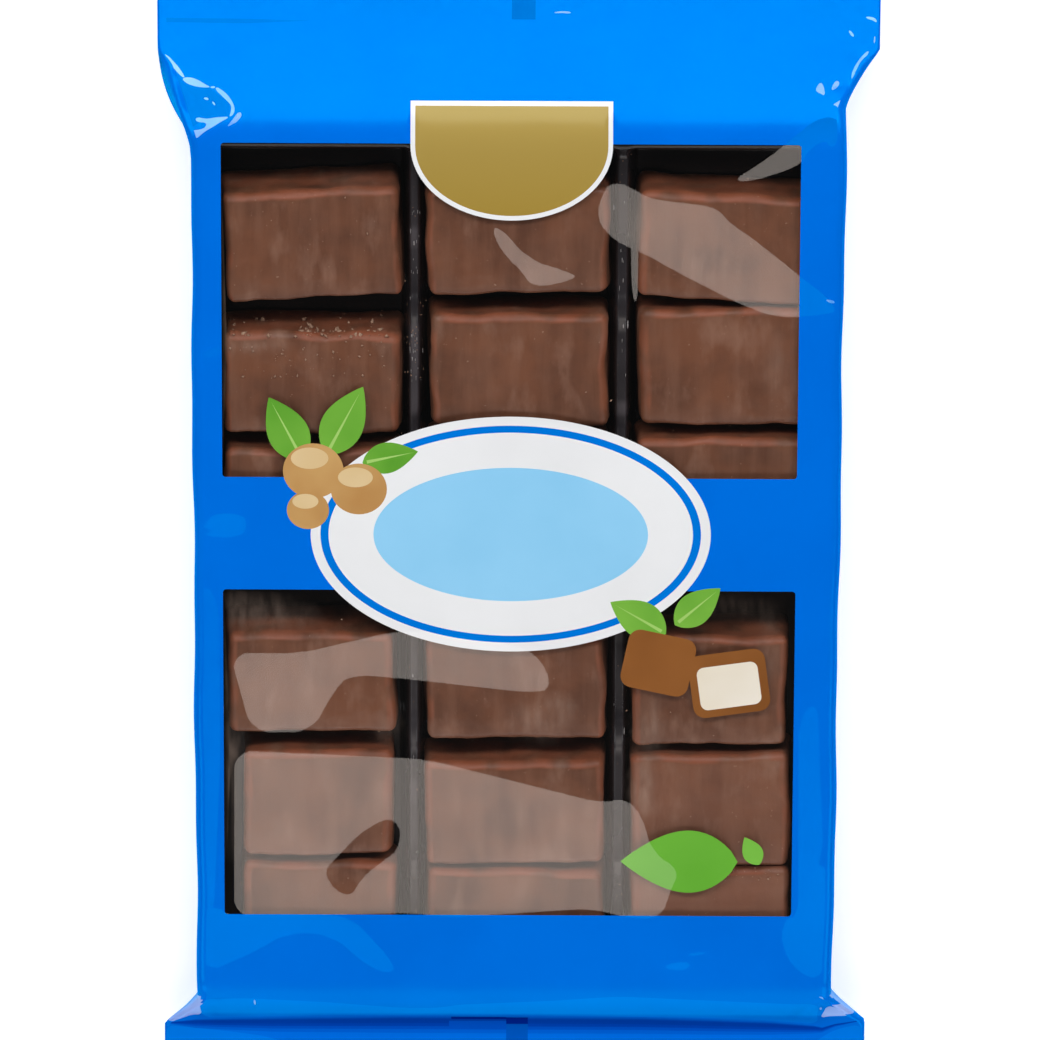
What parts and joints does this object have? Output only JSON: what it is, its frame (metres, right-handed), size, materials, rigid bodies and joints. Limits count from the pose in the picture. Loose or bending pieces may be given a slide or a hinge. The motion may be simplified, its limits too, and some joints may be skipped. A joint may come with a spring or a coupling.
{
  "type": "nougat pack",
  "caption": "Sealed flow pack of chocolate coated nougat pieces on a shallow tray, with clear windows in a printed film and a crimped fin at each end.",
  "frame": {"origin": "under the middle of the pack, on the plane that its back rests on", "axes": "+X to the right of the front, +Y to the head of the pack, +Z out of the front"},
  "size_m": [0.1324, 0.2182, 0.0162],
  "materials": {
    "film": "printed glossy film"
  },
  "bodies": {
    "root": {"pack": "film"}
  },
  "joints": []
}
